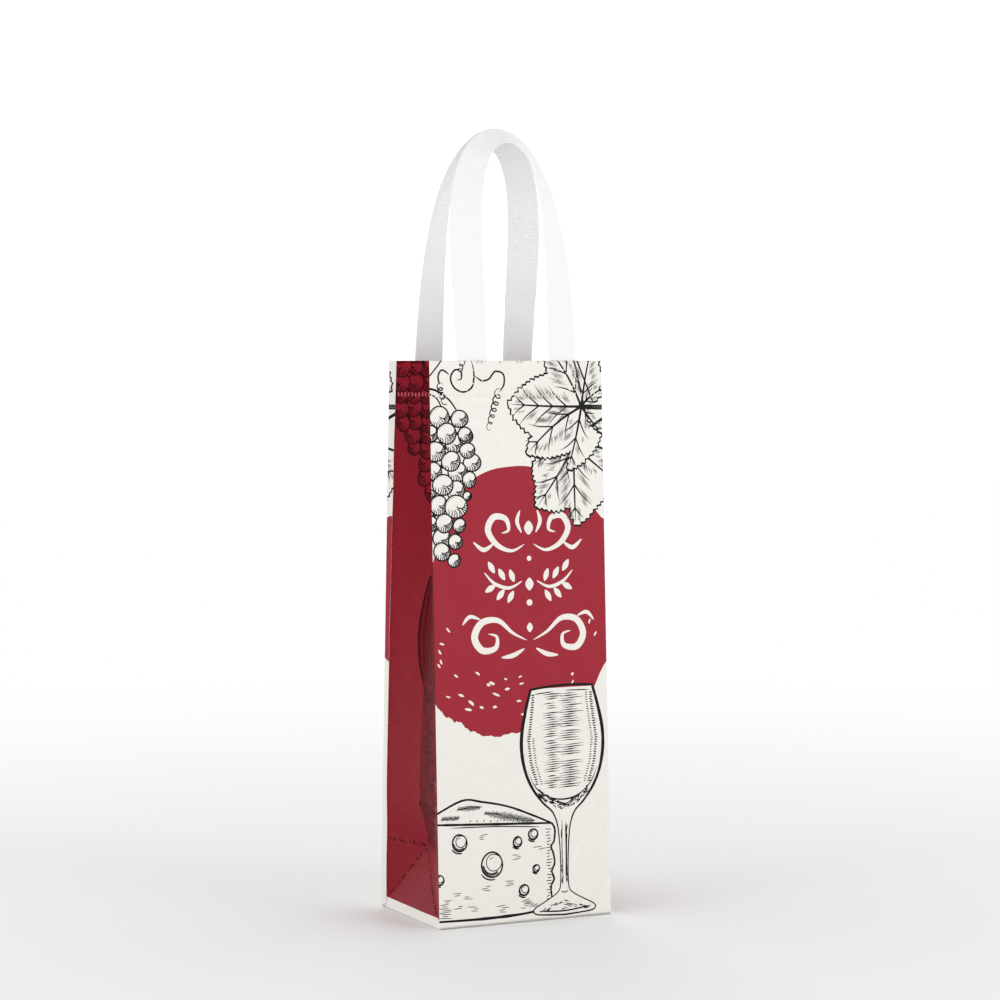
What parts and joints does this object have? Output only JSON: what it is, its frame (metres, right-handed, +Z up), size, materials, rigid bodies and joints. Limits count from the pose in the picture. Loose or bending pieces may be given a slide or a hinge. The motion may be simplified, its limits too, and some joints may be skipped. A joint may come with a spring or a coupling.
{
  "type": "wine gift bag",
  "caption": "Tall narrow gusseted gift bag of printed laminated sheet for a wine bottle, with a folded base, a turned-in hem and soft white strap handles.",
  "frame": {"origin": "middle of the base's underside, on the floor", "axes": "+Z up, front panel facing -Y, +X to the right seen from the front"},
  "size_m": [0.12, 0.09, 0.4959],
  "materials": {
    "cream_sheet": "satin laminated film printed with black and red drawings",
    "red_sheet": "semi-gloss laminated film printed deep red",
    "strap": "white non-woven strap with a fine embossed pattern"
  },
  "bodies": {
    "bag": {"front_panel": "cream_sheet", "back_panel": "cream_sheet", "left_gusset": "red_sheet", "right_gusset": "red_sheet", "seam_flange": "cream_sheet", "base_front_flap": "cream_sheet", "base_back_flap": "cream_sheet", "base_left_tuck": "cream_sheet", "base_right_tuck": "cream_sheet", "front_hem": "cream_sheet", "back_hem": "cream_sheet", "left_gusset_hem": "red_sheet", "right_gusset_hem": "red_sheet", "front_handle_left_tail": "strap", "front_handle_right_tail": "strap", "back_handle_left_tail": "strap", "back_handle_right_tail": "strap"},
    "front_handle": {"front_handle": "strap"},
    "back_handle": {"back_handle": "strap"}
  },
  "joints": [
    {"name": "front_handle_swing", "type": "hinge", "parent": "bag", "child": "front_handle", "pos_m": [0, -0.0307, 0.3503], "axis": [1, 0, 0], "range_deg": [0, 165]},
    {"name": "back_handle_swing", "type": "hinge", "parent": "bag", "child": "back_handle", "pos_m": [0, 0.0307, 0.3503], "axis": [-1, 0, 0], "range_deg": [0, 165]}
  ]
}
